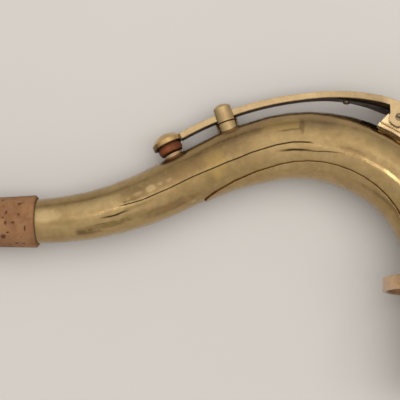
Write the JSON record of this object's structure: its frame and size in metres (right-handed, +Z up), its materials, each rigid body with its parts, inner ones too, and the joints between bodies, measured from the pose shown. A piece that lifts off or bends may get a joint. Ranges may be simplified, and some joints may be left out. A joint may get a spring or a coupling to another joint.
{
  "type": "tenor saxophone neck",
  "caption": "Detached neck of a tenor saxophone: an S-bent brass tube with a cork at the mouthpiece end, a tenon and a sprung octave key with its ring.",
  "frame": {"origin": "centre of the bottom of the bounding box, on the surface that the neck lies on", "axes": "+X from the mouthpiece end towards the bend, the longest extent; +Y towards the octave key on the back of the bend; +Z up, the neck lying on its side, the shortest extent"},
  "size_m": [0.2056, 0.0995, 0.0397],
  "materials": {
    "aged_brass": "old lacquer, dull and patchy",
    "bright_brass": "worn lacquer, satin",
    "key_brass": "worn lacquer, satin",
    "cork": "sanded cork with dark pores",
    "pad_leather": "brown leather",
    "blued_steel": "dark blued spring steel",
    "screw_steel": "dull steel"
  },
  "bodies": {
    "neck": {"neck_tube": "aged_brass", "bend_brace": "aged_brass", "tip_ring": "aged_brass", "mouthpiece_cork": "cork", "tenon_sleeve": "aged_brass", "tenon_collar": "aged_brass", "pip_base": "aged_brass", "octave_pip": "bright_brass", "guide_post_foot": "bright_brass", "guide_post": "bright_brass", "saddle_base": "aged_brass", "key_saddle": "bright_brass"},
    "octave_key": {"lever_arm": "key_brass", "key_loop": "key_brass", "pad_cup": "key_brass", "octave_pad": "pad_leather", "flat_spring": "blued_steel", "spring_screw": "screw_steel", "pivot_screw": "screw_steel", "bumper_cork": "cork"}
  },
  "joints": [
    {"name": "octave_key_hinge", "type": "hinge", "parent": "neck", "child": "octave_key", "pos_m": [0.06898, 0.03965, 0.01096], "axis": [0.0485, -0.1554, -0.9867], "range_deg": [0, 2.8], "stiffness_Nm_per_rad": 0.25, "springref_deg": -6.88}
  ]
}
